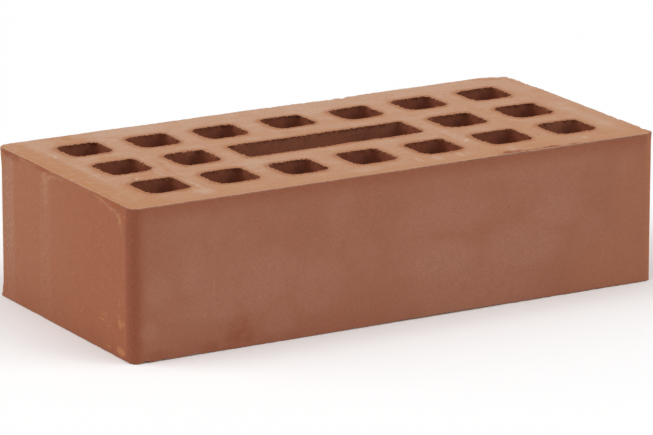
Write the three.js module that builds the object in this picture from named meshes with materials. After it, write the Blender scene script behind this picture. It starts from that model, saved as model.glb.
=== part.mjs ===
// Perforated facing brick, one piece of fired clay. Millimetres, +Z up.
//
// The clay leaves its die as a long column whose section is the plan of the brick: a rectangle
// with rounded corners, and the holes that the die's cores leave. Wires cut the column to
// height. The origin is the middle of the lower bed face, and the length runs along X.
import * as THREE from "three";

// The whole brick.
const LENGTH = 250;
const WIDTH = 120;
const HEIGHT = 65;

// The die rounds the four standing edges. The wires leave a narrow arris on both bed faces,
// round the outline and round every hole.
const STANDING_EDGE_RADIUS = 4.5;
const ARRIS = 0.6;

// The holes go right through, on a grid of columns along X and rows along Y. One long slot
// takes the place of the middle columns in the middle row.
const COLUMNS = 7;
const ROWS = 3;
const COLUMN_PITCH = 32.5;
const ROW_PITCH = 33.5;
const HOLE_SIDE = 20.5;
const HOLE_CORNER_RADIUS = 4.5;
const SLOT_COLUMNS = 3;
const SLOT_CORNER_RADIUS = 2.8;

// Each quarter-round corner has twice this many facets.
const CORNER_SEGMENTS = 3;

const FIRED_CLAY = new THREE.MeshStandardMaterial({
  name: "fired_clay",
  color: 0xa96a50,
  roughness: 0.9,
  metalness: 0,
});

// Draws a rectangle with quarter-round corners into an empty shape or path.
function roundedRectangle(path, { x = 0, y = 0, length, width, radius }) {
  const reachX = length / 2 - radius;
  const reachY = width / 2 - radius;
  const quarter = Math.PI / 2;
  const corners = [
    [x + reachX, y - reachY],
    [x + reachX, y + reachY],
    [x - reachX, y + reachY],
    [x - reachX, y - reachY],
  ];
  corners.forEach(([cornerX, cornerY], turn) => {
    path.absarc(cornerX, cornerY, radius, (turn - 1) * quarter, turn * quarter);
  });
  path.closePath();
  return path;
}

function squareHole(column, row) {
  return roundedRectangle(new THREE.Path(), {
    x: column * COLUMN_PITCH,
    y: row * ROW_PITCH,
    length: HOLE_SIDE,
    width: HOLE_SIDE,
    radius: HOLE_CORNER_RADIUS,
  });
}

// Ends in line with the outer sides of the square holes whose place it takes.
function slot() {
  return roundedRectangle(new THREE.Path(), {
    length: (SLOT_COLUMNS - 1) * COLUMN_PITCH + HOLE_SIDE,
    width: HOLE_SIDE,
    radius: SLOT_CORNER_RADIUS,
  });
}

// Columns and rows are counted from the middle of the grid.
function holes() {
  const lastColumn = (COLUMNS - 1) / 2;
  const lastRow = (ROWS - 1) / 2;
  const paths = [slot()];
  for (let row = -lastRow; row <= lastRow; row += 1) {
    for (let column = -lastColumn; column <= lastColumn; column += 1) {
      const inSlot = row === 0 && Math.abs(column) < SLOT_COLUMNS / 2;
      if (!inSlot) paths.push(squareHole(column, row));
    }
  }
  return paths;
}

function section() {
  const outline = roundedRectangle(new THREE.Shape(), {
    length: LENGTH,
    width: WIDTH,
    radius: STANDING_EDGE_RADIUS,
  });
  outline.holes = holes();
  return outline;
}

// The bevel is set inwards, so that only the bed faces are smaller than the section.
function brick() {
  const geometry = new THREE.ExtrudeGeometry(section(), {
    depth: HEIGHT - 2 * ARRIS,
    curveSegments: CORNER_SEGMENTS,
    bevelEnabled: true,
    bevelSegments: 1,
    bevelThickness: ARRIS,
    bevelSize: ARRIS,
    bevelOffset: -ARRIS,
  });
  const mesh = new THREE.Mesh(geometry, FIRED_CLAY);
  mesh.name = "brick";
  mesh.position.z = ARRIS;
  return mesh;
}

const group = new THREE.Group();
group.add(brick());

export default group;
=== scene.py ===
"""Dresses a perforated clay brick as fired, cut and handled, and sets it on a plain studio floor."""

import math

import bpy
import numpy as np
from bpy.props import FloatProperty, FloatVectorProperty, IntProperty, PointerProperty
from mathutils import Euler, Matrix, Vector, geometry, noise


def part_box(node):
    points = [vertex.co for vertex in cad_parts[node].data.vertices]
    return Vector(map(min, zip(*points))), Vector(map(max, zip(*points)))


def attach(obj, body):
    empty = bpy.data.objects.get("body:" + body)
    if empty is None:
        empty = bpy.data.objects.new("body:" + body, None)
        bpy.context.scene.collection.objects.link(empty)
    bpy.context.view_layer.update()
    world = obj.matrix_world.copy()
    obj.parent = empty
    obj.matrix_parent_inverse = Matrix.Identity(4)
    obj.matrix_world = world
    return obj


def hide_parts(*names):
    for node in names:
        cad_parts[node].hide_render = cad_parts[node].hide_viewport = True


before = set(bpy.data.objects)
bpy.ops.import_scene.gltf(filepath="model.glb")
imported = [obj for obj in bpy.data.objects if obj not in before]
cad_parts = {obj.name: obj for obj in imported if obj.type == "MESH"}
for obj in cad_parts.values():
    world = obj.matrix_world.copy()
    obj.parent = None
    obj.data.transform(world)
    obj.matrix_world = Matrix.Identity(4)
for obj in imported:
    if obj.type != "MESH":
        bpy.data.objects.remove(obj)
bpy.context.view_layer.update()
LOWEST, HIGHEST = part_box("brick")

bl_info = {
    "name": "Perforated Clay Brick",
    "version": (1, 0, 0),
    "blender": (4, 5, 0),
    "location": "View3D > Sidebar > Clay Brick",
    "description": "A fired clay brick with square cells, a middle slot, ragged rims and worn arrises",
    "category": "Object",
}

MM = 0.001

# How far each core strayed while the clay was pressed, row by row from the front, in millimetres.
CELL_DRIFT = (
    ((0.7, 1.5), (-0.1, 0.7), (-1.2, -0.8), (-0.8, -0.4), (-0.7, -0.2), (0.4, -0.2), (0.7, 0.5)),
    ((1.2, 1.9), (0.9, 0.8), (0.0, 0.0), (-0.7, 0.1), (0.0, 0.0), (-0.7, 0.1), (0.4, 0.2)),
    ((1.0, 1.8), (0.4, 0.7), (-0.7, -0.3), (0.2, 0.5), (0.9, -0.3), (0.3, 0.4), (1.0, 0.5)),
)
# Row and column of the slot's middle.
SLOT_PLACE = (1, 3)
# Depth of the cells in each row, from the front, in millimetres.
ROW_DEPTH = (21.0, 21.0, 19.7)
# Cells that came out wider or deeper than their row: by row and column, in millimetres.
CELL_SPREAD = {
    (0, 3): (0.3, 0.6), (0, 5): (1.2, 0.0), (0, 6): (0.0, -0.4),
    (1, 1): (-0.8, 0.0), (1, 5): (1.2, -0.6), (1, 6): (0.4, 0.3),
    (2, 0): (-0.5, -0.4), (2, 1): (-0.4, 0.0), (2, 3): (0.3, -0.8), (2, 4): (-0.9, 0.4),
}

# Places where the clay was worn or dragged: centre, reach and depth in millimetres, and the way it went.
DENTS = (
    # corners of the upper bed
    ((-125, 60, 65), 11, 0.55, (-0.6, 0.6, -0.25)),
    ((125, 60, 65), 15, 1.6, (-0.65, -0.65, -0.15)),
    ((-125, -60, 65), 4, 0.4, (0.3, 0.3, -0.9)),
    ((125, -60, 65), 5, 0.25, (0.6, -0.6, 0.0)),
    # sags of the right end and of the back arris
    ((125, 41, 65), 14, 0.35, (-0.4, 0.0, -0.9)),
    ((28, 60, 65), 45, 0.3, (0.0, 0.0, -1.0)),
    # corners and arris of the foot
    ((-125, 60, 0), 9, 0.8, (-0.6, 0.6, 0.0)),
    ((-125, -60, 0), 7, 0.6, (-0.6, -0.6, 0.0)),
    ((-119.2, -60, 0), 3, 1.0, (0.0, 0.1, 0.9)),
    ((10, -60, 0), 80, 0.3, (0.0, 0.0, 1.0)),
    ((-111, -60, 0), 6, 0.45, (0.0, 0.1, 0.9)),
    ((-98, -60, 0), 6, 0.5, (0.0, 0.1, 0.9)),
    # chips of the right end and of the back arris
    ((125, -51, 65), 3, 0.4, (-0.6, 0.2, -0.7)),
    ((125, -32, 65), 2.5, 0.3, (-0.7, 0.0, -0.7)),
    ((42, 60, 65), 3, 0.3, (0.0, -0.6, -0.7)),
)

# Marks in the clay's colour, in millimetres, tone by tone in the order they are laid. On a flat face a mark
# is its place, its half lengths and its strength, then its turn in degrees if it has one. Places run along
# and across the bed, across and up the left header, and along and up the long face.
BED_MARKS = {
    # warm smears that the wire left, most of them on the land at the left end
    "sand_tan": (
        (-119.5, 5, 6.5, 74, 1), (-120, 55, 6, 9, 0.8), (-94, 50, 8, 7, 0.8), (-99, 55, 5, 7, 0.6),
        (-110, -58, 17, 3.6, 0.8), (-94, 17, 7, 4, 0.9), (-8, 17, 6, 4, 0.7), (81, -8, 4, 36, 0.5),
        (81, -34, 3, 8, 0.7), (-110, -40, 6, 24, 0.9), (-114, -54, 14, 6, 0.9), (-95, 54, 4.2, 9, 1, 4),
        (-98, 48.5, 7, 3.2, 0.9), (-84.5, 50.5, 1, 1.6, 0.8), (-94, -15, 11, 4.4, 0.8),
        (-81.5, -6, 1.4, 17, 1, -9), (-83, -24, 1, 5, 0.8), (-96, 17.4, 14, 0.45, 0.9, 4.5),
        (-70, 19.4, 13, 0.45, 0.8, 4.5), (-117, 14.5, 8, 0.6, 0.7, 4.5), (45.5, -20, 0.9, 8, 0.7),
        (52, -55, 4, 5, 0.9), (72, -53, 10, 5, 0.8), (105.5, -49.5, 4, 2.6, 1), (83.5, -17, 0.9, 5, 0.9),
        (104.5, -18, 2.4, 2, 0.7), (110, 2, 2, 18, 0.5), (114, 56, 9, 2.6, 0.9, -14),
        (122.5, 46, 1.6, 9, 0.7), (121.5, -52, 2.6, 6, 0.9),
    ),
    # along the left arris
    "ochre": ((-123.6, -38, 1.3, 26, 0.7), (-123.8, 8, 3.2, 70, 0.5)),
    # pale drags between the cells and along the ends
    "sand_pale": (
        (-112.5, 12, 0.9, 46, 0.4), (-66, 54, 20, 7, 0.6), (-88.5, -9, 3, 1.8, 1, 8),
        (-88, -16, 1.4, 6, 0.7, 6), (-84, -38, 1.2, 11, 0.9, 3), (-86, -49, 5.5, 5, 0.75),
        (-46, -18, 7, 5, 0.5), (15, 48, 9, 12, 0.45), (46, 14, 5, 6, 0.4), (49, -22, 3, 16, 0.45),
        (15.5, -50, 1.6, 5, 0.7), (23.5, -50, 2, 5, 0.6), (34.5, -50.5, 1.3, 4, 0.7),
        (39, -49.5, 1, 3, 0.5), (58.5, -53, 2, 5, 0.6), (-12, -52, 9, 4, 0.5), (95, -52, 1.6, 1.8, 1),
        (107.5, -21, 1.2, 1.6, 1), (116, -20, 3.6, 30, 0.45), (116, 36, 4, 16, 0.35),
        (70, 58.3, 8, 1.4, 0.9),
    ),
    # white specks
    "lime": (
        (-113.5, 29.5, 0.6, 1.2, 0.9), (-109.3, 6, 0.4, 1, 0.5, -20), (-100.4, -18, 0.5, 1.3, 1, -25),
        (49.9, -31, 0.4, 1.9, 1, -38), (47.8, -32.2, 0.35, 1.7, 0.8, -38),
    ),
    # dark nicks; the last three are painted shadows of the crumbs on the front arris
    "oxide_and_shadow": (
        (-102.2, -19, 0.9, 0.7, 0.8), (43.6, 6.8, 0.4, 1.5, 0.9, -35), (24.4, -13.6, 0.9, 0.8, 0.6),
        (-44.8, -11.5, 0.35, 1.9, 0.9, -28), (-73.2, -11, 0.8, 0.9, 0.9), (-20, -39.6, 0.6, 0.8, 0.35),
        (-16.5, 49.5, 0.5, 0.9, 0.35), (50.5, -59.1, 3.5, 0.8, 0.6), (55.7, -58.8, 4, 1.2, 0.35),
        (61, -59.3, 3, 0.6, 0.5),
    ),
    # crumbs on the right part of the front arris
    "burnt_crumb": (
        (55.7, -57.8, 6, 2.7, 1, 6), (66, -58.9, 8, 1.5, 0.9), (74, -58.3, 6, 2, 1),
        (85, -59, 5, 1.3, 0.8), (97, -59.2, 9, 1.1, 0.6),
    ),
    # a speck at the front right corner
    "ash_and_shadow": ((123.8, -58.6, 1.4, 1.2, 0.7),),
}
HEADER_MARKS = {
    # smudges under the upper arris and by the front edge's foot
    "ochre": (
        (41, 63.6, 13, 0.5, 0.7), (-36.5, 16.4, 3.6, 0.35, 0.8), (-35.5, 14.8, 5, 0.35, 0.5),
        (-34.5, 12.9, 4.2, 0.6, 0.8), (-39, 11.8, 2.2, 0.3, 0.6), (-48.4, 17.8, 1.6, 0.8, 0.9),
        (-49.2, 14.8, 1.8, 2.2, 1), (-52.5, 15.4, 1.5, 1.2, 0.7), (-49.5, 3.2, 4.2, 1.9, 0.9),
        (-39, 2.8, 3.5, 0.5, 0.6),
    ),
    # smears under the upper arris
    "dust": (
        (16.2, 60.5, 3.4, 3.4, 0.8), (16, 54, 3.2, 6.5, 0.5), (9.5, 62.6, 4, 0.6, 0.7),
        (3, 63.4, 4, 0.6, 0.5), (-31.5, 63.3, 4.5, 0.55, 0.6), (-36, 62.7, 4, 0.6, 0.75),
        (-40.5, 61.9, 3.6, 0.7, 0.75), (-44.5, 61, 3.2, 0.9, 0.75), (-47.8, 59.6, 2.4, 1.4, 0.8),
        (-49.8, 57.4, 1.7, 2.4, 0.75), (-50.5, 54, 1.2, 2, 0.5), (-54.2, 60.4, 0.8, 1.6, 0.5),
    ),
    # white flecks
    "lime": ((13, 61.3, 0.8, 0.9, 0.3), (-48.6, 23, 0.3, 1.5, 0.2)),
    # burnt red under the upper arris
    "rust": (
        (-40, 64.2, 7, 1.1, 0.8), (-47, 63.4, 6, 1.9, 0.9), (-52.5, 62.4, 3, 2.4, 0.8),
        (34, 64.5, 24, 0.6, 0.8), (50, 63.6, 8, 1.6, 1), (18, 63.9, 8, 1.5, 1), (-32, 64.5, 5, 0.8, 0.9),
    ),
    # a darker patch at the top of the back lime band
    "edge_red": ((46, 63.3, 9, 2, 0.7),),
    # dark specks
    "oxide_and_shadow": (
        (16.6, 25, 0.5, 0.9, 0.7), (17, 15.8, 0.7, 0.6, 0.7), (16.4, 9, 0.5, 0.6, 0.5),
        (51, 25.8, 0.6, 0.7, 0.5),
    ),
}
LONG_FACE_MARKS = {
    # a scratch and a fleck
    "lime": ((-87.5, 29, 0.3, 13, 0.08), (110, 53, 0.6, 0.5, 0.15)),
    # darker blotches at the foot
    "edge_red": (
        (-76, 4, 8, 7, 0.8), (-75.5, 11, 5, 12, 0.6), (-89, 2.5, 5, 3.5, 0.6), (-114, 2.5, 6, 3, 0.5),
        (-56, 2, 9, 3, 0.4), (8, 4, 6, 5, 0.45), (-100, 22, 7, 5, 0.25),
    ),
    # dark specks
    "oxide_and_shadow": ((52.5, 42, 0.8, 0.5, 0.7), (81, 36.6, 0.7, 0.5, 0.7)),
    # paler clouds
    "bloom": (
        (36, 7, 40, 17, 0.6), (22, 23, 20, 11, 1), (-57, 10, 9, 12, 0.45), (-80, 20, 30, 9, 0.65),
        (-40, 20, 14, 13, 0.6), (-60, 28, 16, 12, 0.7), (-113, 29, 7, 9, 0.6), (-117, 13, 5, 5, 0.5),
        (-95, 33, 9, 12, 0.6), (60, 24, 24, 12, 0.9), (76, 37, 14, 9, 0.8), (110, 52, 5, 4, 0.5),
        (28, 43, 28, 9, 0.5),
    ),
    # warmer patches at the right end
    "header_pale": ((106, 10, 26, 17, 0.6), (114, 38, 11, 24, 0.5), (122.5, 34, 3.5, 42, 0.75)),
}
# On edges and in cells a mark is its centre, its half lengths and its strength.
EDGE_MARKS = {
    # the light line down the right header's front edge
    "ochre": (((125, -58, 32), (2.4, 4, 60), 0.8),),
    # dust down the left header's back edge
    "dust": (((-124, 58.6, 34), (6, 4.4, 46), 1.0),),
}
WALL_MARKS = {
    # the back walls of the slot and of the last cell of the front row
    "wall_dust": (((0, 11, 50), (60, 5, 60), 0.9), ((98.5, -22.5, 50), (13, 5, 60), 1.0)),
}


def measure(name, description, millimetres):
    """A size property, given in millimetres."""
    metres = millimetres * MM
    return FloatProperty(name=name, description=description, default=metres, min=0.0, unit="LENGTH")


def tone(name, description, linear):
    """A colour property, given in linear light."""
    return FloatVectorProperty(
        name=name, description=description, default=linear, size=3, min=0.0, max=1.0, subtype="COLOR"
    )


def brightness(name, description, default):
    """A property for how strong a light is."""
    return FloatProperty(name=name, description=description, default=default, min=0.0)


class BrickSizes(bpy.types.PropertyGroup):
    """The brick's own sizes"""

    standing_edge: measure("Standing edge", "Radius of the four upright edges", 4.5)
    columns: IntProperty(name="Columns", description="Cells along the brick", default=7, min=3)
    rows: IntProperty(name="Rows", description="Cells across the brick", default=3, min=3)
    column_pitch: measure("Column pitch", "Centre to centre along the brick", 32.5)
    row_pitch: measure("Row pitch", "Centre to centre across the brick", 33.5)
    cell_side: measure("Cell side", "Width of a square cell at its rim", 20.2)
    cell_corner: measure("Cell corner", "Corner radius of a square cell", 4.5)
    slot_columns: IntProperty(name="Slot columns", description="Cells the slot takes", default=3, min=1)
    slot_corner: measure("Slot corner", "Corner radius of the slot", 2.8)
    cell_spacing: measure("Rim spacing", "Distance between points on a cell's rim", 0.44)
    outline_spacing: measure("Outline spacing", "Distance between points on the outline", 0.46)
    bed_spacing: measure("Bed spacing", "Distance between points on the bed faces", 1.7)
    tooth: measure("Rim teeth", "How far the ragged rim strays", 0.32)
    bite: measure("Rim bites", "How deep the crumbs broke out of the rim", 0.33)
    recess: measure("Recess", "How far the wall strays under its rim", 0.12)
    wear: measure("Arris wear", "How much of the outer arris has crumbled", 0.6)
    bed_wave: measure("Bed wave", "Depth of the waves that the wire left", 0.14)
    skin_wave: measure("Skin wave", "Depth of the waves along the skin", 0.12)


class ClayColours(bpy.types.PropertyGroup):
    """The colours of the fired clay"""

    sand: tone("Sand", "Bed face where the wire cut it", (0.507, 0.281, 0.173))
    sand_pale: tone("Pale sand", "Bed face, lightest smears", (0.545, 0.352, 0.252))
    sand_tan: tone("Tan sand", "Bed face, warm patches", (0.474, 0.230, 0.118))
    halo: tone("Halo", "Scorched rim of a cell", (0.388, 0.142, 0.058))
    stretcher: tone("Stretcher", "Long face", (0.335, 0.128, 0.0735))
    bloom: tone("Bloom", "Greyer middle of the long face", (0.370, 0.158, 0.097))
    header: tone("Header", "Short face, front part", (0.355, 0.121, 0.0575))
    header_pale: tone("Pale header", "Short face, back part", (0.381, 0.146, 0.0745))
    # also lays painted contact shade at the foot
    edge_red: tone("Edge red", "Rounded upright edges and the foot", (0.286, 0.087, 0.042))
    cell_wall: tone("Cell wall", "Wall of a cell", (0.250, 0.075, 0.037))
    wall_burnt: tone("Burnt wall", "Wall at a cell's right end", (0.258, 0.061, 0.024))
    wall_dust: tone("Wall dust", "Pale dust on a cell's wall", (0.295, 0.100, 0.053))
    ochre: tone("Ochre", "Ochre smudges", (0.470, 0.190, 0.080))
    dust: tone("Dust", "Pale ochre dust on the short face", (0.445, 0.205, 0.100))
    rust: tone("Rust", "Burnt red by the arrises", (0.335, 0.098, 0.040))
    burnt_crumb: tone("Burnt crumb", "Burnt crumbs along the long arris", (0.290, 0.085, 0.032))
    lime: tone("Lime", "White specks", (0.640, 0.520, 0.430))
    # dark red specks, and on the bed painted shadows of the front arris's crumbs
    oxide_and_shadow: tone("Oxide", "Dark red specks", (0.200, 0.055, 0.030))
    # a dark speck on the bed, and dark specks painting the shadow under the upper arris's lip
    ash_and_shadow: tone("Ash", "Dark line of the broken arris", (0.120, 0.080, 0.066))


class StageSettings(bpy.types.PropertyGroup):
    """The studio around the brick"""

    azimuth: FloatProperty(
        name="Azimuth", description="How far the camera stands left of the long face",
        default=math.radians(30.048), subtype="ANGLE"
    )
    elevation: FloatProperty(
        name="Elevation", description="How far the camera looks down", default=math.radians(15.226),
        subtype="ANGLE"
    )
    distance: FloatProperty(
        name="Distance", description="From the aim to the camera", default=2.15477, unit="LENGTH"
    )
    aim: FloatVectorProperty(
        name="Aim", description="Point in the middle of the picture",
        default=(-0.53 * MM, -0.24 * MM, 30.74 * MM), size=3, subtype="TRANSLATION"
    )
    lens: FloatProperty(name="Lens", description="Focal length", default=281.5, unit="CAMERA")
    floor_radius: FloatProperty(
        name="Floor radius", description="Size of the floor", default=15.0, unit="LENGTH"
    )
    floor_colour: tone("Floor", "Floor colour", (0.95, 0.95, 0.95))
    sky: brightness("Sky", "Strength of the light from all sides", 0.22)
    top_lamp: brightness("Top lamp", "Strength of the lamp above", 1.5)
    left_lamp: brightness("Left lamp", "Strength of the left lamp", 1.2)
    right_lamp: brightness("Right lamp", "Strength of the right lamp", 1.0)


# Shape of the brick


# Corner radii as shares of the stated one: back right, back left, front left, front right.
CELL_CORNER_SHARES = (0.65, 1.05, 1.2, 1.2)
SLOT_CORNER_SHARES = (0.6, 1.0, 1.0, 1.0)
STANDING_EDGE_SHARES = (1.1, 1.15, 1.0, 0.8)
# The way from a rectangle's middle to each of those corners.
CORNER_SIDES = ((1, 1), (-1, 1), (-1, -1), (1, -1))
# Where every cell's outline is out of true: place from its middle, pull and reach, in millimetres.
CELL_PULLS = (
    ((5.0, -10.2), (0.0, 0.55), 5.0),
    ((9.8, -7.4), (0.4, 0.0), 3.2),
    ((10.0, 8.2), (0.3, 0.1), 3.2),
    ((-10.2, -6.0), (0.35, 0.0), 3.4),
)


class PlanEdge:
    """A closed edge of the brick's plan: a rectangle with rounded corners, walked anticlockwise."""

    def __init__(self, centre, size, radii, spacing, outer):
        self.centre = np.array(centre)
        self.half = np.array(size) / 2
        self.radii = radii
        self.outer = outer
        points, outward = self.walk(spacing)
        self.points = np.array(points) + self.centre
        if not outer:
            self.pull()
        self.into_clay = np.array(outward) * (-1.0 if outer else 1.0)

    def walk(self, spacing):
        """Points about a spacing apart, an even number of them, and the way outward at each."""
        points = []
        outward = []
        for quarter, side in enumerate(CORNER_SIDES):
            radius = self.radii[quarter]
            middle = np.array(side) * (self.half - radius)
            steps = even_steps(math.pi / 2 * radius, spacing)
            for step in range(steps + 1):
                angle = math.pi / 2 * (quarter + step / steps)
                outward.append(np.array((math.cos(angle), math.sin(angle))))
                points.append(middle + radius * outward[-1])
            next_radius = self.radii[(quarter + 1) % 4]
            next_side = np.array(CORNER_SIDES[(quarter + 1) % 4])
            start = points[-1]
            way = np.array((-outward[-1][1], outward[-1][0]))
            run = abs(way @ (next_side * (self.half - next_radius) - start))
            steps = even_steps(run, spacing)
            for step in range(1, steps):
                points.append(start + way * run * step / steps)
                outward.append(outward[-1])
        return points, outward

    def pull(self):
        """Pulls a cell's outline out of true."""
        for place, pull, reach in CELL_PULLS:
            away = np.linalg.norm(self.points - self.centre - np.array(place) * MM, axis=1)
            self.points = self.points + fall(away, reach * MM)[:, None] * np.array(pull) * MM

    def clearance(self, places):
        """Distance in the plan from each place to the edge, negative off the clay."""
        away = places - self.centre
        right, back = (away > 0).T
        quarter = np.where(back, 1 - right, 2 + right)
        radius = np.array(self.radii)[quarter]
        beyond = np.abs(away) - (self.half - radius[:, None])
        outside = np.linalg.norm(np.maximum(beyond, 0.0), axis=1)
        inside = np.minimum(np.max(beyond, axis=1), 0.0)
        distance = outside + inside - radius
        return -distance if self.outer else distance


def even_steps(length, spacing):
    """An even number of steps, each about a spacing long."""
    return 2 * max(1, round(length / spacing / 2))


def plan_edges(sizes):
    """The outline, the slot and the cells, as edges of the plan."""
    length, width, _ = HIGHEST - LOWEST
    standing = [share * sizes.standing_edge for share in STANDING_EDGE_SHARES]
    outline = PlanEdge((0.0, 0.0), (length, width), standing, sizes.outline_spacing, True)
    row, column = SLOT_PLACE
    slot_corners = [share * sizes.slot_corner for share in SLOT_CORNER_SHARES]
    slot_size = ((sizes.slot_columns - 1) * sizes.column_pitch + sizes.cell_side, ROW_DEPTH[row] * MM)
    slot_centre = np.array(CELL_DRIFT[row][column]) * MM
    slot = PlanEdge(slot_centre, slot_size, slot_corners, sizes.cell_spacing, False)
    return [outline, slot, *cell_edges(sizes)]


def cell_edges(sizes):
    """The square cells, without those whose place the slot takes."""
    corners = [share * sizes.cell_corner for share in CELL_CORNER_SHARES]
    middle = np.array((sizes.columns - 1, sizes.rows - 1)) / 2
    pitch = np.array((sizes.column_pitch, sizes.row_pitch))
    edges = []
    for row in range(sizes.rows):
        for column in range(sizes.columns):
            if row == SLOT_PLACE[0] and abs(column - SLOT_PLACE[1]) <= (sizes.slot_columns - 1) / 2:
                continue
            centre = (np.array((column, row)) - middle) * pitch + np.array(CELL_DRIFT[row][column]) * MM
            size = np.array((sizes.cell_side, ROW_DEPTH[row] * MM))
            size += np.array(CELL_SPREAD.get((row, column), (0.0, 0.0))) * MM
            edges.append(PlanEdge(centre, size, corners, sizes.cell_spacing, False))
    return edges


# Stations of a section, from the bed over the edge and down the wall: millimetres into the clay, and down.
RIM_STATIONS = (
    (1.5, 0.0), (0.8, 0.0), (0.35, 0.0), (0.06, 0.0), (0.0, 0.1), (0.0, 0.35), (0.0, 0.75), (0.0, 1.4)
)
RIM_WALL_STATIONS = ((0.0, 2.6), (0.0, 7.0), (0.0, 17.0))
ARRIS_STATIONS = (
    (2.4, 0.0), (1.2, 0.0), (0.5, 0.0), (0.15, 0.0), (0.0, 0.15), (0.0, 0.5), (0.0, 1.1), (0.0, 2.0)
)
ARRIS_WALL_STATIONS = (
    (0.0, 3.4), (0.0, 5.5), (0.0, 8.5), (0.0, 12.5), (0.0, 17.0), (0.0, 22.0), (0.0, 27.0)
)
# Room that the bed's grid leaves beside the arris and the rims, as shares of its spacing.
ARRIS_ROOM = 0.3
RIM_ROOM = 0.45
# Points of the plan that are nearer than this, in metres, are one point.
SAME_POINT = 1e-9


def section(edge_stations, wall_stations, height):
    """The section of an edge, from bed to bed: way into the clay, height, and step from point to point."""
    fine = [(into * MM, height - down * MM, 1) for into, down in edge_stations]
    upper_wall = [(into * MM, height - down * MM, 2) for into, down in wall_stations]
    lower_half = [(into, height - z, 2) for into, z, _ in reversed(fine + upper_wall)]
    return fine + upper_wall + [(0.0, height / 2, 2)] + lower_half


class Clay:
    """Gathers the vertices and faces of the brick, with what is known of each vertex."""

    def __init__(self):
        self.vertices = []
        self.faces = []
        self.count = 0

    def add(self, places, edge_places, into_clay, outer):
        """Adds vertices and returns the number of the first."""
        first = self.count
        self.vertices.append((places, edge_places, into_clay, np.full(len(places), outer)))
        self.count += len(places)
        return first

    def gathered(self):
        """All vertices as arrays: places, edge places, ways into the clay, and whether on the outside."""
        return [np.concatenate(parts) for parts in zip(*self.vertices)]


def band(upper, lower):
    """Faces between two rings of vertex numbers. The upper has as many points, or twice as many."""
    step = len(upper) // len(lower)
    for here in range(len(lower)):
        following = (here + 1) % len(lower)
        top = [upper[(here * step + back) % len(upper)] for back in range(step, -1, -1)]
        yield (lower[here], lower[following], *top)


def sweep_edge(clay, edge, height):
    """Sweeps the section round an edge, finely on the upper bed's side. Returns the end rings."""
    if edge.outer:
        stations = section(ARRIS_STATIONS, ARRIS_WALL_STATIONS, height)
    else:
        stations = section(RIM_STATIONS, RIM_WALL_STATIONS, height)
    rings = []
    for into, z, step in stations:
        points = edge.points[::step]
        ways = edge.into_clay[::step]
        around = len(points)
        places = np.column_stack((points + ways * into, np.full(around, z)))
        edge_places = np.column_stack((points, np.full(around, height if z > height / 2 else 0.0)))
        into_clay = np.column_stack((ways, np.zeros(around)))
        first = clay.add(places, edge_places, into_clay, edge.outer)
        rings.append(list(range(first, first + around)))
    for upper, lower in zip(rings, rings[1:]):
        for face in band(upper, lower):
            clay.faces.append(face if edge.outer else face[::-1])
    return rings[0], rings[-1]


def bed_grid(edges, spacing):
    """Points of a triangular grid on the bed, clear of every edge."""
    length, width, _ = HIGHEST - LOWEST
    rise = spacing * math.sqrt(3) / 2
    places = []
    for row in range(int(width / rise) + 1):
        shift = spacing / 2 if row % 2 else 0.0
        for column in range(int(length / spacing) + 1):
            places.append((-length / 2 + shift + column * spacing, -width / 2 + row * rise))
    places = np.array(places)
    clear = edges[0].clearance(places) > ARRIS_STATIONS[0][0] * MM + ARRIS_ROOM * spacing
    for cell in edges[1:]:
        clear &= cell.clearance(places) > RIM_STATIONS[0][0] * MM + RIM_ROOM * spacing
    return places[clear]


def fill_bed(clay, rings, edges, height, spacing):
    """Fills a bed face between the innermost rings of its edges, the outline's ring first."""
    grid = bed_grid(edges, spacing)
    flat = np.column_stack((grid, np.full(len(grid), height)))
    first = clay.add(flat, flat, np.zeros((len(grid), 3)), False)
    numbers = [number for ring in rings for number in ring]
    numbers += range(first, first + len(grid))
    cell_of = {number: cell for cell, ring in enumerate(rings[1:]) for number in ring}
    places = clay.gathered()[0][numbers, :2]
    borders = []
    start = 0
    for ring in rings:
        borders += [(start + here, start + (here + 1) % len(ring)) for here in range(len(ring))]
        start += len(ring)
    result = geometry.delaunay_2d_cdt([Vector(place) for place in places], borders, [], 0, SAME_POINT)
    kept = [numbers[origin[0]] for origin in result[3]]
    for triangle in result[2]:
        a, b, c = (kept[corner] for corner in triangle)
        over_cell = a in cell_of and cell_of[a] == cell_of.get(b) == cell_of.get(c)
        if not over_cell:
            clay.faces.append((a, b, c) if height > 0.0 else (c, b, a))


# Kinds of roughness: size of its features in millimetres, octaves, and where its pattern starts.
ROUGHNESS = {
    "tearing": (11, 1, 77.0),
    "teeth": (0.95, 2, 3.0),
    "long teeth": (6, 2, 8.0),
    "bites": (0.95, 2, 5.0),
    "hollows": (1.9, 2, 12.0),
    "grooves": ((2.2, 2.2, 60), 2, 21.0),
    "swell": (38, 2, 25.0),
    "pits": (3.5, 2, 31.0),
    "waves": ((30, 18, 30), 2, 41.0),
    "drags": ((22, 2.4, 22), 2, 45.0),
    "bed crumbs": (2.4, 2, 47.0),
    "long crumbling": (9, 3, 61.0),
    "fine crumbling": (1.3, 2, 65.0),
    "dent edges": (2.5, 2, 71.0),
}
ROUGH_GAIN = 2.2
ROUGH_LIMIT = 1.3
# How deep the waves of the beds fade out, and those of the walls come in, in millimetres.
BED_DEPTH = 0.7
WALL_DEPTH = 0.6
# How deep and how wide a rim is torn, how deep the hollow under it lies, and how far up and down it goes.
RIM_DEPTH = 1.4
RIM_WIDTH = 0.8
HOLLOW_DEPTH = 1.1
HOLLOW_REACH = 0.9


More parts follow.
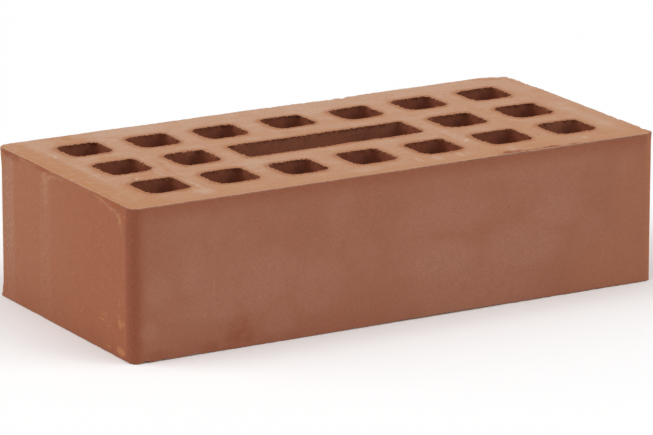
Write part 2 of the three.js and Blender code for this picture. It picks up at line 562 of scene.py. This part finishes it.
def rough(places, kind):
    """Smooth random values of one kind, about -1 to 1."""
    wavelength, octaves, start = ROUGHNESS[kind]
    offset = Vector((start, -1.7 * start, 2.3 * start))
    scaled = places / (np.array(wavelength) * MM)
    values = [noise.fractal(Vector(place) + offset, 0.9, 2.0, octaves) for place in scaled]
    return np.clip(ROUGH_GAIN * np.array(values), -ROUGH_LIMIT, ROUGH_LIMIT)


def fall(distance, reach):
    """1 at no distance, 0 from reach on, smooth between."""
    share = np.clip(1.0 - distance / reach, 0.0, 1.0)
    return share * share * (3.0 - 2.0 * share)


class Wear:
    """Moves the vertices of the brick, one kind of wear after another."""

    def __init__(self, clay, sizes, height):
        self.sizes = sizes
        self.places, self.edge_places, self.into_clay, self.skin = clay.gathered()
        self.moved = self.places.copy()
        middle = height / 2
        self.side = np.where(self.places[:, 2] > middle, 1.0, -1.0)
        self.depth = middle - np.abs(self.places[:, 2] - middle)
        inset = np.linalg.norm(self.places[:, :2] - self.edge_places[:, :2], axis=1)
        self.inset = np.where(self.depth > SAME_POINT, 0.0, inset)
        has_edge = self.into_clay.any(axis=1)
        self.cell = has_edge & ~self.skin
        self.bed = np.where(has_edge, fall(self.depth, BED_DEPTH * MM), 1.0)
        self.rim = fall(self.depth, RIM_DEPTH * MM) * fall(self.inset, RIM_WIDTH * MM) * self.cell

    def move_into_clay(self, amount):
        """Moves each vertex of an edge or a wall into the clay."""
        self.moved += self.into_clay * amount[:, None]

    def move_to_middle(self, amount):
        """Moves each vertex away from its bed face, towards the middle of the height."""
        self.moved[:, 2] -= self.side * amount

    def tear_rims(self):
        """Teeth, bites and hollows of the rims: worst on a cell's left, least on its front."""
        left = np.clip(-self.into_clay[:, 0], 0.0, 1.0)
        front = np.clip(-self.into_clay[:, 1], 0.0, 1.0)
        patchy = 0.40 * rough(self.edge_places, "tearing")
        torn = self.rim * np.clip(0.85 + 0.35 * left - 0.30 * front + patchy, 0.2, 1.6)
        teeth = rough(self.edge_places, "teeth") + 0.5 * rough(self.edge_places, "long teeth")
        self.move_into_clay(-self.sizes.tooth * torn * teeth)
        bites = np.clip(0.25 + 0.75 * rough(self.edge_places, "bites"), 0.0, 1.2)
        self.move_to_middle(self.sizes.bite * torn * bites)
        fallen = fall(np.abs(self.depth - HOLLOW_DEPTH * MM), HOLLOW_REACH * MM) * self.cell
        self.move_into_clay(fallen * self.sizes.recess * rough(self.edge_places, "hollows"))

    def wave_walls(self):
        """Swells, upright grooves and pits of the skin and the cells' walls."""
        swell = 0.5 + 0.5 * rough(self.places, "swell")
        grooves = 0.5 + 0.5 * rough(self.places, "grooves")
        pits = np.clip(rough(self.places, "pits") - 0.9, 0.0, 1.0)
        push = np.clip(0.8 * swell + 0.08 * grooves + 0.5 * pits, 0.0, None)
        wall = 1.0 - fall(self.depth, WALL_DEPTH * MM)
        self.move_into_clay(self.sizes.skin_wave * push * wall)

    def wave_beds(self):
        """Waves, drag marks and crumbs that the wire left on both bed faces."""
        waves = 0.5 + 0.5 * rough(self.places, "waves")
        drags = 0.5 + 0.5 * rough(self.places, "drags")
        crumbs = np.clip(rough(self.places, "bed crumbs") - 0.8, 0.0, 1.0)
        drop = np.clip(0.7 * waves + 0.3 * drags + 0.6 * crumbs, 0.0, None)
        self.move_to_middle(self.sizes.bed_wave * self.bed * drop)

    def crumble_arrises(self):
        """Cuts the outer arrises back by an uneven slope."""
        uneven = 0.25 + 0.25 * rough(self.edge_places, "long crumbling")
        uneven += 0.30 * rough(self.edge_places, "fine crumbling")
        worn = np.clip(uneven, 0.08, 2.0) * self.sizes.wear * self.skin
        cut = np.clip(worn - self.depth - self.inset, 0.0, None) / 2
        self.move_into_clay(cut)
        self.move_to_middle(cut)

    def dent(self):
        """Presses in the dents, with ragged edges."""
        ragged = 1.0 + 0.35 * rough(self.places, "dent edges")
        for centre, reach, deep, way in DENTS:
            away = np.linalg.norm(self.places - np.array(centre) * MM, axis=1)
            push = fall(away, reach * MM) * deep * MM * ragged
            self.moved += np.array(Vector(way).normalized()) * push[:, None]

    def worn_places(self):
        """Wears the brick and returns its vertices, kept inside its stated size."""
        self.tear_rims()
        self.wave_walls()
        self.wave_beds()
        self.crumble_arrises()
        self.dent()
        return np.clip(self.moved, np.array(LOWEST), np.array(HIGHEST))

    def channels(self):
        """What the colours need to know of each vertex."""
        return {
            "cell": self.cell.astype(float),
            "depth": self.depth / MM,
            "right_wall": np.clip(self.into_clay[:, 0], 0.0, 1.0) * self.cell,
        }


def last_quarter(way):
    """0 up to three quarters of the way from a cell's middle to its side, 1 from the side on."""
    return np.clip(4.0 * way - 3.0, 0.0, 1.0)


def rim_channels(places, cells):
    """What the colours need to know of the cell nearest to each place: its rim, scorch and reach, and how
    near its back right corner the place lies, which sets the painted shade on the walls.
    """
    flat = places[:, :2]
    rim = np.full(len(flat), np.inf)
    scorch, reach, nook = np.zeros((3, len(flat)))
    for cell in cells:
        distance = cell.clearance(flat) / MM
        nearer = distance < rim
        beyond = (flat - cell.centre) / cell.half
        right, back = last_quarter(beyond.T)
        left, front = last_quarter(-beyond.T)
        left *= 1.0 - back
        burnt = 0.70 + 0.10 * left + 0.22 * front * (1.0 - right)
        burnt += right * (0.25 * back - 0.08 * (1.0 - back) - 0.36 * front)
        scorch = np.where(nearer, np.minimum(burnt, 1.0), scorch)
        reach = np.where(nearer, 3.3 + 1.2 * left + 0.6 * front - 0.5 * right * (1.0 - back), reach)
        # nearness to the back right corner: the walls get painted shade there
        nook = np.where(nearer, np.prod(np.clip(beyond, 0.0, 1.0), axis=1), nook)
        rim = np.where(nearer, distance, rim)
    return {"rim": rim, "scorch": scorch, "reach": reach, "nook": nook}


# How much wider apart the points on the underside are.
UNDERSIDE_COARSENING = 1.5


def brick_mesh(sizes):
    """The worn brick as a mesh, with its channels for the clay's colours."""
    height = HIGHEST.z - LOWEST.z
    edges = plan_edges(sizes)
    clay = Clay()
    uppers, lowers = zip(*(sweep_edge(clay, edge, height) for edge in edges))
    fill_bed(clay, uppers, edges, height, sizes.bed_spacing)
    fill_bed(clay, lowers, edges, 0.0, sizes.bed_spacing * UNDERSIDE_COARSENING)
    wear = Wear(clay, sizes, height)
    places = wear.worn_places()
    channels = {**wear.channels(), **rim_channels(wear.places, edges[1:])}
    mesh = bpy.data.meshes.new("fired_brick")
    mesh.from_pydata(places.tolist(), [], clay.faces)
    for name, values in channels.items():
        attribute = mesh.attributes.new(name, "FLOAT", "POINT")
        attribute.data.foreach_set("value", values.astype(np.float32))
    mesh.polygons.foreach_set("use_smooth", [True] * len(mesh.polygons))
    mesh.update()
    return mesh


# Finish of the clay

# Layers of colour, laid one after another: the tone, then the steps whose product is its share.
# A step: what it follows, where it starts, where it is full, and, if not 0 and 1, its least and its most.
BED_SMEARS = (
    ("sand_tan", ("patch", 0.66, 0.36, 0.0, 0.35)),
    ("sand_pale", ("ragged_y", 22.0, 58.0, 0.0, 0.38)),
    ("sand_pale", ("smears", 0.45, 0.70, 0.0, 0.5)),
    ("sand_tan", ("mottle", 0.52, 0.72, 0.0, 0.4)),
    ("sand_tan", ("ragged_y", -34.0, -49.0, 0.0, 0.43)),
    ("sand_tan", ("ragged_y", -54.0, -59.0, 0.0, 0.75)),
)
# Light crests on the front and left arrises, and nicks in the left one.
BED_ARRISES = (
    ("sand_pale", ("y", -58.8, -59.3, 0.0, 0.7), ("grain", 0.56, 0.44)),
    ("sand_pale", ("x", -124.0, -124.5, 0.0, 0.7), ("grain", 0.54, 0.44)),
    ("halo", ("x", -123.7, -124.4), ("crumb", 0.56, 0.66, 0.0, 0.7)),
)
# Painted shade in the crumbs right at each cell's rim, in the walls' dark red, and pale crumbs a little
# further out.
RIM_SHADE_AND_CRUMBS = (
    ("cell_wall", ("rim", 0.6, 0.1, 0.0, 0.5), ("grain", 0.52, 0.64)),
    ("sand_pale", ("rim", 1.2, 0.3, 0.0, 0.5), ("grain", 0.44, 0.34)),
)
LONG_FACE_CLOUDS = (
    ("bloom", ("far_x", 118.0, 92.0), ("ragged_z", 8.0, 26.0), ("patch", 0.36, 0.62, 0.1, 0.55)),
)
# Darker red at the foot of the long face's left part and of the header, partly redder clay and partly
# painted contact shade;
# burnt red at the long face's head; and darker red on the front left upright edge.
RED_EDGES_AND_FOOT_SHADE = (
    ("edge_red", ("ragged_z", 13.0, -3.0), ("x", -20.0, 10.0, 0.3, 0.0)),
    ("rust", ("ragged_z", 28.0, 4.0, 0.0, 0.22), ("far_x", 120.5, 124.0)),
    ("edge_red", ("ragged_z", 56.0, 66.0, 0.0, 0.8), ("depth", 0.35, 0.9), ("far_x", 124.0, 120.5)),
    ("edge_red", ("far_x", 116.5, 124.4), ("far_y", 52.8, 55.8), ("x", 0.0, -50.0), ("y", 40.0, 20.0)),
)
# Dark specks that paint the shadow under the upper arris's lip, most on the right part of the long face,
# and light crumbs, just under the upper arris.
UNDER_ARRIS_SHADOW_AND_CRUMBS = (
    ("ash_and_shadow", ("depth", 0.7, 0.4), ("grain", 0.48, 0.54), ("worn", 0.35, 0.6, 0.5, 1.0), ("x", -10, 30, 0.3)),
    ("sand_pale", ("depth", 0.7, 0.4), ("grain", 0.46, 0.40), ("worn", 0.35, 0.6, 0.8, 0.5)),
)


# Where a mark starts to show and where it is full, as shares of its half lengths.
MARK_EDGE = (1.15, 0.45)
# How far the marks of the beds and of the sides reach off their face, in millimetres.
BED_REACH = 5.0
SIDE_REACH = 4.0


class Wiring:
    """Adds shader nodes to one material, or to the world, and wires them."""

    def __init__(self, owner):
        self.nodes = owner.node_tree.nodes
        self.links = owner.node_tree.links

    def feed(self, socket, value):
        """Sets a socket, or links it when the value is an output."""
        if isinstance(value, bpy.types.NodeSocket):
            self.links.new(value, socket)
        else:
            socket.default_value = value

    def node(self, kind, inputs, **settings):
        """A node of a kind, with its settings and inputs."""
        made = self.nodes.new("ShaderNode" + kind)
        for name, value in settings.items():
            setattr(made, name, value)
        for key, value in inputs.items():
            self.feed(made.inputs[key], value)
        return made

    def math(self, operation, first, second=0.0, third=0.0):
        """One sum on numbers."""
        return self.node("Math", {0: first, 1: second, 2: third}, operation=operation).outputs[0]

    def product(self, *values):
        """The product of several numbers."""
        result = values[0]
        for value in values[1:]:
            result = self.math("MULTIPLY", result, value)
        return result

    def blend(self, factor, first, second):
        """A colour between two others."""
        made = self.node("Mix", {0: factor, 6: first, 7: second}, data_type="RGBA")
        return made.outputs[2]

    def vector_math(self, operation, first, inputs):
        """One sum on places or colours."""
        return self.node("VectorMath", {0: first, **inputs}, operation=operation).outputs[0]

    def scaled(self, vector, scale):
        """A place, or a colour, made larger or smaller."""
        return self.vector_math("SCALE", vector, {"Scale": scale})

    def noise(self, vector, wavelength, detail, roughness, stretch=(1.0, 1.0, 1.0)):
        """Smooth random values from 0 to 1, about 0.5, with features about a wavelength across."""
        if stretch != (1.0, 1.0, 1.0):
            vector = self.vector_math("DIVIDE", vector, {1: stretch})
        inputs = {"Vector": vector, "Scale": 1.0 / wavelength, "Detail": detail, "Roughness": roughness}
        return self.node("TexNoise", inputs).outputs[0]

    def step(self, value, start, full, least=0.0, most=1.0):
        """Goes smoothly from least to most as the value goes from start to full."""
        inputs = {0: value, 1: start, 2: full, 3: least, 4: most}
        return self.node("MapRange", inputs, interpolation_type="SMOOTHSTEP").outputs[0]


def colour(values):
    """A colour with its alpha."""
    return (*values, 1.0)


class ClayFinish(Wiring):
    """Wires the clay's finish: the places, channels and noises it follows, and its layers and marks."""

    def __init__(self, material, colours):
        super().__init__(material)
        self.colours = colours
        coordinates = self.node("TexCoord", {}).outputs["Object"]
        self.place = self.scaled(coordinates, 1 / MM)
        self.x, self.y, _ = self.node("SeparateXYZ", {0: self.place}).outputs
        self.far_x = self.math("ABSOLUTE", self.x)
        self.far_y = self.math("ABSOLUTE", self.y)
        for name in ("cell", "depth", "rim", "right_wall", "scorch", "reach", "nook"):
            setattr(self, name, self.node("Attribute", {}, attribute_name=name).outputs["Fac"])
        self.grain = self.noise(self.place, 0.55, 2.0, 0.7)
        self.crumb = self.noise(self.place, 1.1, 2.0, 0.6)
        self.mottle = self.noise(self.place, 4.0, 3.0, 0.6)
        self.worn = self.noise(self.place, 7.0, 2.0, 0.6)
        self.patch = self.noise(self.place, 24.0, 3.0, 0.55)
        self.smears = self.noise(self.place, 6.0, 4.0, 0.6, (2.0, 1.0, 1.0))
        self.ragged_place = self.strayed_place()
        _, self.ragged_y, self.ragged_z = self.node("SeparateXYZ", {0: self.ragged_place}).outputs
        self.bed = self.bed_share()

    def strayed_place(self):
        """The place, up to about 1.5 mm off, so that what follows it has ragged edges."""
        inputs = {"Vector": self.place, "Scale": 0.4, "Detail": 3.0}
        stray = self.node("TexNoise", inputs).outputs["Color"]
        centred = self.vector_math("SUBTRACT", stray, {1: (0.5, 0.5, 0.5)})
        return self.vector_math("ADD", self.place, {1: self.scaled(centred, 3.0)})

    def bed_share(self):
        """1 on the bed faces and 0 down their edges, with a ragged border on the cells' rims."""
        ragged = self.math("MULTIPLY_ADD", self.crumb, 1.1, -0.38)
        reach = self.math("MAXIMUM", self.product(ragged, self.cell), 0.06)
        return self.step(self.math("DIVIDE", self.depth, reach), 1.25, 0.75)

    def tone(self, name):
        """One of the clay's colours, by its name."""
        return colour(getattr(self.colours, name))

    def follow(self, *steps):
        """The product of steps, each of which follows what it names."""
        return self.product(*(self.step(getattr(self, name), *span) for name, *span in steps))

    def layered(self, base, layers):
        """A colour with layers laid over it."""
        result = base
        for name, *steps in layers:
            result = self.blend(self.follow(*steps), result, self.tone(name))
        return result

    def mark(self, centre, half, strength, turn=0.0):
        """The strength inside an ellipsoid with a ragged edge, 0 outside it."""
        place = self.ragged_place
        if turn:
            inputs = {"Vector": place, "Center": centre, "Angle": math.radians(-turn)}
            place = self.node("VectorRotate", inputs, rotation_type="Z_AXIS").outputs[0]
        shrink = [1 / reach for reach in half]
        shift = [-middle / reach for middle, reach in zip(centre, half)]
        local = self.vector_math("MULTIPLY_ADD", place, {1: shrink, 2: shift})
        length = self.node("VectorMath", {0: local}, operation="LENGTH").outputs["Value"]
        return self.step(length, *MARK_EDGE, 0.0, strength)

    def marked(self, base, tones):
        """A colour with marks laid over it, tone by tone."""
        broken = self.follow(("mottle", 0.30, 0.55, 0.35, 1.0))
        result = base
        for name, marks in tones.items():
            share = 0.0
            for mark in marks:
                share = self.math("MAXIMUM", self.mark(*mark), share)
            result = self.blend(self.product(share, broken), result, self.tone(name))
        return result


def on_face(tones, axis, place, reach):
    """The marks of a flat face, set in space: on the plane across an axis, and as deep as a reach."""
    def in_space(pair, across):
        return (*pair[:axis], across, *pair[axis:])

    return {
        name: [(in_space(mark[:2], place), in_space(mark[2:4], reach), *mark[4:]) for mark in marks]
        for name, marks in tones.items()
    }


def bed_colour(clay):
    """The bed face: sandy, smeared by the wire, scorched round the cells, with painted shade in the crumbs
    at their rims.
    """
    result = clay.layered(clay.tone("sand"), BED_SMEARS)
    result = clay.marked(result, on_face(BED_MARKS, 2, HIGHEST.z / MM, BED_REACH))
    result = clay.layered(result, BED_ARRISES)
    result = clay.blend(halo_share(clay), result, clay.tone("halo"))
    return clay.layered(result, RIM_SHADE_AND_CRUMBS)


def halo_share(clay):
    """How scorched the bed is round each cell, with an uneven border."""
    uneven = clay.math("MULTIPLY_ADD", clay.mottle, 3.0, clay.math("ADD", clay.rim, -3.0))
    uneven = clay.math("MULTIPLY_ADD", clay.crumb, 3.0, uneven)
    return clay.product(clay.step(clay.math("DIVIDE", uneven, clay.reach), 1.0, 0.1), clay.scorch)


def skin_colour(clay):
    """The sides: red skin, greyer in the middle of the long faces, redder at the edges and the foot, with
    painted contact shade at the foot and painted shadow under the upper arris.
    """
    long_face = clay.layered(clay.tone("stretcher"), LONG_FACE_CLOUDS)
    paler = clay.follow(("ragged_y", -50.0, 45.0))
    header = clay.blend(paler, clay.tone("header"), clay.tone("header_pale"))
    result = clay.blend(clay.follow(("far_x", 120.5, 124.0)), long_face, header)
    result = clay.layered(result, RED_EDGES_AND_FOOT_SHADE)
    result = clay.marked(result, EDGE_MARKS)
    result = clay.marked(result, on_face(HEADER_MARKS, 0, LOWEST.x / MM, SIDE_REACH))
    result = clay.marked(result, on_face(LONG_FACE_MARKS, 1, LOWEST.y / MM, SIDE_REACH))
    result = clay.blend(lime_share(clay), result, clay.tone("lime"))
    return clay.layered(result, UNDER_ARRIS_SHADOW_AND_CRUMBS)


def lime_share(clay):
    """White film and specks that follow two upright bands on the left header."""
    first = clay.follow(("ragged_y", 44.0, 46.5), ("ragged_y", 55.5, 53.0))
    second = clay.follow(("ragged_y", 10.5, 12.5), ("ragged_y", 22.5, 20.5))
    worms = clay.noise(clay.place, 1.2, 2.0, 0.6, (1.0, 1.0, 1.6))
    specks = clay.noise(clay.place, 0.8, 2.0, 0.7, (1.0, 1.0, 1.5))
    film = clay.product(
        clay.math("MULTIPLY_ADD", second, 0.2, first),
        clay.follow(("ragged_z", 4.0, 34.0, 0.25, 1.0)),
        clay.step(worms, 0.35, 0.65, 0.03, 0.13),
    )
    bright = clay.math("MULTIPLY_ADD", second, 0.6, first)
    bright = clay.product(bright, clay.step(specks, 0.58, 0.68, 0.0, 0.26))
    header = clay.follow(("x", -121.0, -124.0), ("ragged_z", 64.5, 61.0))
    return clay.product(clay.math("ADD", film, bright), header)


def cell_colour(clay):
    """The walls of the cells: dark red clay, burnt at their right ends, with crumbs under the lip, and
    painted shade under the lip and by the back right corner.
    """
    burnt = clay.product(clay.right_wall, 0.62)
    walls = clay.blend(burnt, clay.tone("cell_wall"), clay.tone("wall_burnt"))
    walls = clay.scaled(clay.marked(walls, WALL_MARKS), wall_streaks_and_painted_shade(clay))
    crumbs = clay.product(
        clay.follow(("depth", 1.9, 0.3), ("crumb", 0.38, 0.62)),
        clay.math("MULTIPLY_ADD", clay.right_wall, 0.6, 0.1),
    )
    return clay.blend(crumbs, walls, clay.tone("halo"))


def wall_streaks_and_painted_shade(clay):
    """How light the walls are: painted shade under the lip, a painted shadow slanting down from the back
    right corner, and faint streaks in the clay.
    """
    # painted shade under the lip, deeper near the back right corner
    corner = clay.math("MULTIPLY_ADD", clay.product(clay.nook, clay.nook), 0.28, 0.15)
    lip = clay.product(clay.follow(("depth", 2.6, 0.6)), corner)
    # painted shadow that slants down and away from the back right corner
    beside = clay.follow(("nook", 0.3, 0.55), ("nook", 0.85, 0.6), ("depth", 1.5, 4.0))
    shade = clay.math("MULTIPLY_ADD", beside, 0.2, lip)
    streaks = clay.noise(clay.place, 1.8, 3.0, 0.65, (1.0, 1.0, 30.0))
    return clay.math("MULTIPLY_ADD", streaks, 0.18, clay.math("SUBTRACT", 0.98, shade))


def clay_material(colours):
    """Fired clay: sandy cut beds, red skin and dark cells, in one material."""
    material = bpy.data.materials.new("fired_clay_skin")
    material.use_nodes = True
    clay = ClayFinish(material, colours)
    base = clay.blend(clay.cell, skin_colour(clay), cell_colour(clay))
    base = clay.blend(clay.bed, base, bed_colour(clay))
    grain_light = clay.math("MULTIPLY_ADD", clay.grain, 0.72, 0.64)
    crumb_light = clay.math("MULTIPLY_ADD", clay.crumb, 0.22, 0.89)
    shader = clay.nodes["Principled BSDF"]
    light = clay.product(grain_light, crumb_light)
    clay.feed(shader.inputs["Base Color"], clay.scaled(base, light))
    clay.feed(shader.inputs["Roughness"], clay.follow(("mottle", 0.3, 0.7, 0.84, 0.96)))
    shader.inputs["Specular IOR Level"].default_value = 0.3
    fine = clay.noise(clay.place, 0.28, 1.0, 0.5)
    height = clay.math("MULTIPLY_ADD", fine, 0.4, clay.grain)
    bump = clay.node("Bump", {"Height": height, "Strength": 0.6, "Distance": 0.12 * MM})
    clay.feed(shader.inputs["Normal"], bump.outputs[0])
    return material


# Stage

# The lamps: how far left of the long face each stands, how high, and how wide it looks, in degrees.
LAMPS = (("top_lamp", 30, 80, 70), ("left_lamp", 120, 32, 50), ("right_lamp", -50, 32, 50))


def placed(name, data):
    """A new object in the scene."""
    made = bpy.data.objects.new(name, data)
    bpy.context.scene.collection.objects.link(made)
    return made


def stage_floor(settings):
    """A large pale disc that the brick lies on."""
    mesh = bpy.data.meshes.new("studio_floor")
    around = 96
    turn = 2 * math.pi / around
    rim = [
        (settings.floor_radius * math.cos(turn * step), settings.floor_radius * math.sin(turn * step), 0.0)
        for step in range(around)
    ]
    mesh.from_pydata(rim, [], [tuple(range(around))])
    material = bpy.data.materials.new("studio_floor")
    material.use_nodes = True
    shader = material.node_tree.nodes["Principled BSDF"]
    shader.inputs["Base Color"].default_value = colour(settings.floor_colour)
    shader.inputs["Roughness"].default_value = 0.9
    shader.inputs["Specular IOR Level"].default_value = 0.1
    mesh.materials.append(material)
    placed("studio_floor", mesh)


def stage_light(settings):
    """Even light from all sides, seen as white beyond the floor, and three soft lamps."""
    world = bpy.data.worlds.new("studio")
    world.use_nodes = True
    wiring = Wiring(world)
    sky = wiring.nodes["Background"]
    sky.inputs["Color"].default_value = (1.0, 1.0, 1.0, 1.0)
    seen = wiring.node("LightPath", {}).outputs["Is Camera Ray"]
    strength = wiring.math("MULTIPLY_ADD", seen, 1.0 - settings.sky, settings.sky)
    wiring.feed(sky.inputs["Strength"], strength)
    bpy.context.scene.world = world
    for name, azimuth, elevation, softness in LAMPS:
        data = bpy.data.lights.new(name, "SUN")
        data.energy = getattr(settings, name)
        data.angle = math.radians(softness)
        turn = viewing_turn(math.radians(azimuth), math.radians(elevation))
        placed(name, data).rotation_euler = turn


def viewing_turn(azimuth, elevation):
    """The turn of something that looks at the brick from the left of its long face, and down."""
    return Euler((math.pi / 2 - elevation, 0.0, -azimuth))


def stage_camera(settings):
    """The camera, at the distance and height of a product picture."""
    data = bpy.data.cameras.new("studio_camera")
    data.lens = settings.lens
    data.sensor_width = 36.0
    data.sensor_fit = "HORIZONTAL"
    data.clip_end = 100.0
    camera = placed("studio_camera", data)
    turn = viewing_turn(settings.azimuth, settings.elevation)
    camera.rotation_euler = turn
    camera.location = Vector(settings.aim) + settings.distance * turn.to_matrix().col[2]
    bpy.context.scene.camera = camera


# Operators and panel


class CLAYBRICK_OT_fired_brick(bpy.types.Operator):
    """Make the fired brick with its cells, ragged rims and worn arrises"""

    bl_idname = "clay_brick.fired_brick"
    bl_label = "Fired Brick"

    def execute(self, context):
        mesh = brick_mesh(context.scene.clay_brick_sizes)
        brick = placed("fired_brick", mesh)
        mesh.materials.append(clay_material(context.scene.clay_brick_colours))
        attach(brick, "root")
        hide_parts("brick")
        return {"FINISHED"}


class CLAYBRICK_OT_stage(bpy.types.Operator):
    """Set the floor, the light and the camera"""

    bl_idname = "clay_brick.stage"
    bl_label = "Studio Stage"

    def execute(self, context):
        settings = context.scene.clay_brick_stage
        stage_floor(settings)
        stage_light(settings)
        stage_camera(settings)
        context.scene.view_settings.view_transform = "Standard"
        return {"FINISHED"}


class CLAYBRICK_PT_panel(bpy.types.Panel):
    """The makers of the brick and its stage"""

    bl_label = "Clay Brick"
    bl_idname = "CLAYBRICK_PT_panel"
    bl_space_type = "VIEW_3D"
    bl_region_type = "UI"
    bl_category = "Clay Brick"

    def draw(self, context):
        for operator in OPERATORS:
            self.layout.operator(operator.bl_idname)
        for group_name in GROUPS:
            group = getattr(context.scene, group_name)
            box = self.layout.box()
            for name in group.__annotations__:
                box.prop(group, name)


GROUPS = {
    "clay_brick_sizes": BrickSizes,
    "clay_brick_colours": ClayColours,
    "clay_brick_stage": StageSettings,
}
OPERATORS = (CLAYBRICK_OT_stage, CLAYBRICK_OT_fired_brick)


def register():
    for name, group in GROUPS.items():
        bpy.utils.register_class(group)
        setattr(bpy.types.Scene, name, PointerProperty(type=group))
    for operator in OPERATORS:
        bpy.utils.register_class(operator)
    bpy.utils.register_class(CLAYBRICK_PT_panel)


def unregister():
    bpy.utils.unregister_class(CLAYBRICK_PT_panel)
    for operator in reversed(OPERATORS):
        bpy.utils.unregister_class(operator)
    for name, group in GROUPS.items():
        delattr(bpy.types.Scene, name)
        bpy.utils.unregister_class(group)


def main():
    register()
    bpy.ops.clay_brick.stage()
    bpy.ops.clay_brick.fired_brick()


if __name__ == "__main__":
    main()
